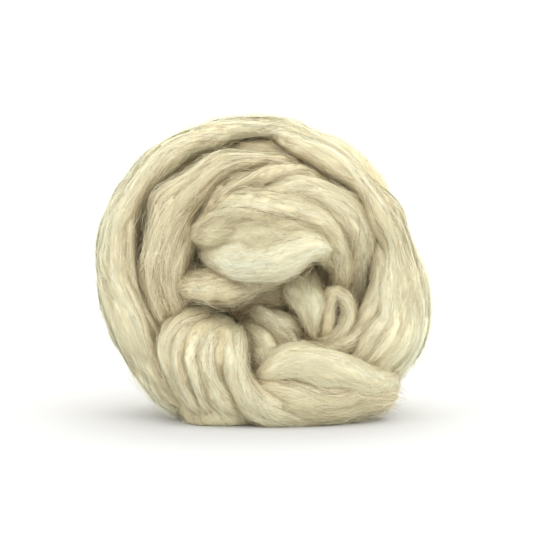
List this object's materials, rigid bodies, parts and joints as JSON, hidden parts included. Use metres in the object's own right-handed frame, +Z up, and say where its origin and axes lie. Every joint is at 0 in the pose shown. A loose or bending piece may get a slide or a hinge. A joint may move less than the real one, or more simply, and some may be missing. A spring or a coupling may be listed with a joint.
{
  "type": "wound ball of silk roving",
  "caption": "Loose ball of combed tussah silk roving: one soft, untwisted rope of cream fibre wound round and tucked into its own front, for hand spinning, felting and blending.",
  "frame": {"origin": "on the surface that the ball stands on, in the middle of its flat underside and under its winding axis", "axes": "+Z up, +Y from the tucked front to the back along the winding axis, +X to the right seen from the front"},
  "size_m": [0.172, 0.1403, 0.1556],
  "materials": {
    "silk": "combed silk fibre with a soft sheen along its length"
  },
  "bodies": {
    "root": {"silk_roving": "silk"}
  },
  "joints": []
}
